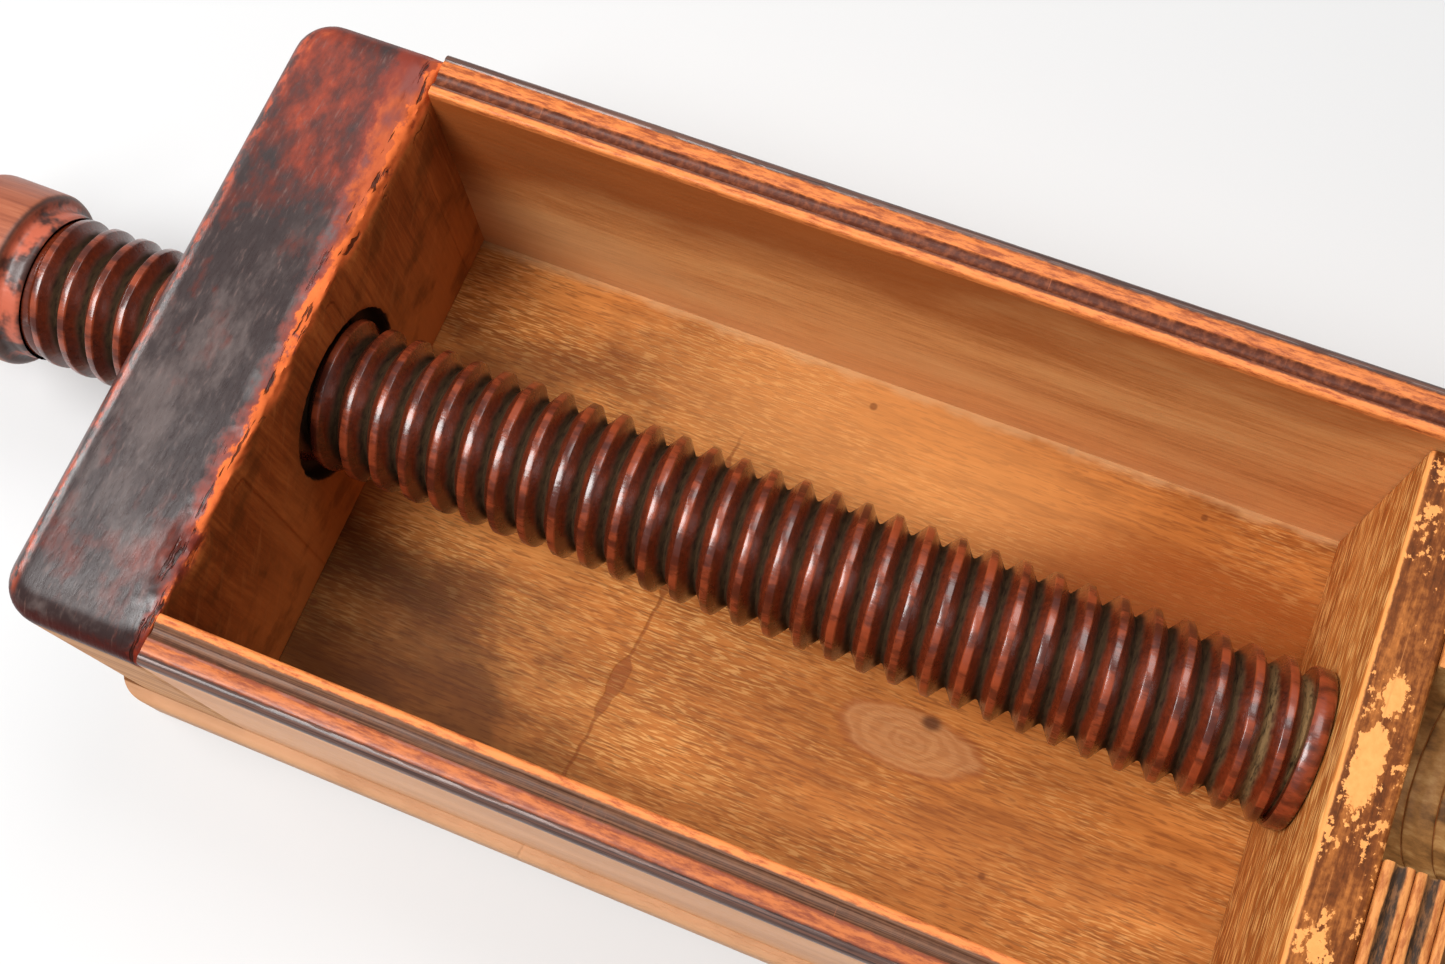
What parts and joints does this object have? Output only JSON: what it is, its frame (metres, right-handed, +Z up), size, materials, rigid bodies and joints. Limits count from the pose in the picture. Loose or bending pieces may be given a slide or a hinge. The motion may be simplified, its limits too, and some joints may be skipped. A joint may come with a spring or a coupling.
{
  "type": "corn sheller",
  "caption": "Antique wooden corn sheller: open box with a big wooden screw that drives a follower against notched shelling plates.",
  "frame": {"origin": "centre of the base board's underside, on the surface the box stands on", "axes": "+X along the screw from its head towards the shelling plates and tail block, +Y to the far wall, +Z up"},
  "size_m": [0.7008, 0.219, 0.118],
  "materials": {
    "base_wood": "satin, golden brown, worn",
    "wall_wood": "satin, orange brown, dark moulded top",
    "block_lacquer": "gloss, near-black lacquer over mahogany red, worn through at the edges",
    "screw_wood": "gloss, deep red brown with dark grime in the thread",
    "head_wood": "satin, reddish brown",
    "follower_wood": "satin, golden tan, dark worn finish on top",
    "plate_wood": "satin, orange brown, greyish in the notch",
    "peg_wood": "matt, pale wood"
  },
  "bodies": {
    "box": {"base_board": "base_wood", "near_wall": "wall_wood", "far_wall": "wall_wood", "nut_block": "block_lacquer", "tail_block": "block_lacquer", "block_pegs": "peg_wood", "wall_pegs": "peg_wood"},
    "follower": {"follower": "follower_wood", "garter_key": "peg_wood"},
    "screw": {"press_screw": "screw_wood", "screw_head": "head_wood", "head_peg": "peg_wood", "turning_bar": "head_wood", "bar_peg": "peg_wood", "upper_bar_knob": "head_wood", "lower_bar_knob": "head_wood"},
    "shelling_plate_01": {"shelling_plate_01": "plate_wood"},
    "shelling_plate_02": {"shelling_plate_02": "plate_wood"},
    "shelling_plate_03": {"shelling_plate_03": "plate_wood"},
    "shelling_plate_04": {"shelling_plate_04": "plate_wood"},
    "shelling_plate_05": {"shelling_plate_05": "plate_wood"},
    "shelling_plate_06": {"shelling_plate_06": "plate_wood"},
    "shelling_plate_07": {"shelling_plate_07": "plate_wood"},
    "shelling_plate_08": {"shelling_plate_08": "plate_wood"},
    "shelling_plate_09": {"shelling_plate_09": "plate_wood"},
    "shelling_plate_10": {"shelling_plate_10": "plate_wood"},
    "shelling_plate_11": {"shelling_plate_11": "plate_wood"},
    "shelling_plate_12": {"shelling_plate_12": "plate_wood"},
    "shelling_plate_13": {"shelling_plate_13": "plate_wood"},
    "shelling_plate_14": {"shelling_plate_14": "plate_wood"}
  },
  "joints": [
    {"name": "follower_slide", "type": "slide", "parent": "box", "child": "follower", "axis": [1, 0, 0], "range_m": [-0.2653, 0]},
    {"name": "screw_turn", "type": "hinge", "parent": "follower", "child": "screw", "pos_m": [-0.34015, 0.003, 0.067], "axis": [1, 0, 0], "range_deg": [-9360, 0]},
    {"name": "plate_01_lift", "type": "slide", "parent": "box", "child": "shelling_plate_01", "axis": [0, 0, 1], "range_m": [0, 0.11]},
    {"name": "plate_02_lift", "type": "slide", "parent": "box", "child": "shelling_plate_02", "axis": [0, 0, 1], "range_m": [0, 0.11]},
    {"name": "plate_03_lift", "type": "slide", "parent": "box", "child": "shelling_plate_03", "axis": [0, 0, 1], "range_m": [0, 0.11]},
    {"name": "plate_04_lift", "type": "slide", "parent": "box", "child": "shelling_plate_04", "axis": [0, 0, 1], "range_m": [0, 0.11]},
    {"name": "plate_05_lift", "type": "slide", "parent": "box", "child": "shelling_plate_05", "axis": [0, 0, 1], "range_m": [0, 0.11]},
    {"name": "plate_06_lift", "type": "slide", "parent": "box", "child": "shelling_plate_06", "axis": [0, 0, 1], "range_m": [0, 0.11]},
    {"name": "plate_07_lift", "type": "slide", "parent": "box", "child": "shelling_plate_07", "axis": [0, 0, 1], "range_m": [0, 0.11]},
    {"name": "plate_08_lift", "type": "slide", "parent": "box", "child": "shelling_plate_08", "axis": [0, 0, 1], "range_m": [0, 0.11]},
    {"name": "plate_09_lift", "type": "slide", "parent": "box", "child": "shelling_plate_09", "axis": [0, 0, 1], "range_m": [0, 0.11]},
    {"name": "plate_10_lift", "type": "slide", "parent": "box", "child": "shelling_plate_10", "axis": [0, 0, 1], "range_m": [0, 0.11]},
    {"name": "plate_11_lift", "type": "slide", "parent": "box", "child": "shelling_plate_11", "axis": [0, 0, 1], "range_m": [0, 0.11]},
    {"name": "plate_12_lift", "type": "slide", "parent": "box", "child": "shelling_plate_12", "axis": [0, 0, 1], "range_m": [0, 0.11]},
    {"name": "plate_13_lift", "type": "slide", "parent": "box", "child": "shelling_plate_13", "axis": [0, 0, 1], "range_m": [0, 0.11]},
    {"name": "plate_14_lift", "type": "slide", "parent": "box", "child": "shelling_plate_14", "axis": [0, 0, 1], "range_m": [0, 0.11]}
  ],
  "couplings": [
    {"joint": "follower_slide", "follows": "screw_turn", "m_per_rad": 0.0016234}
  ]
}
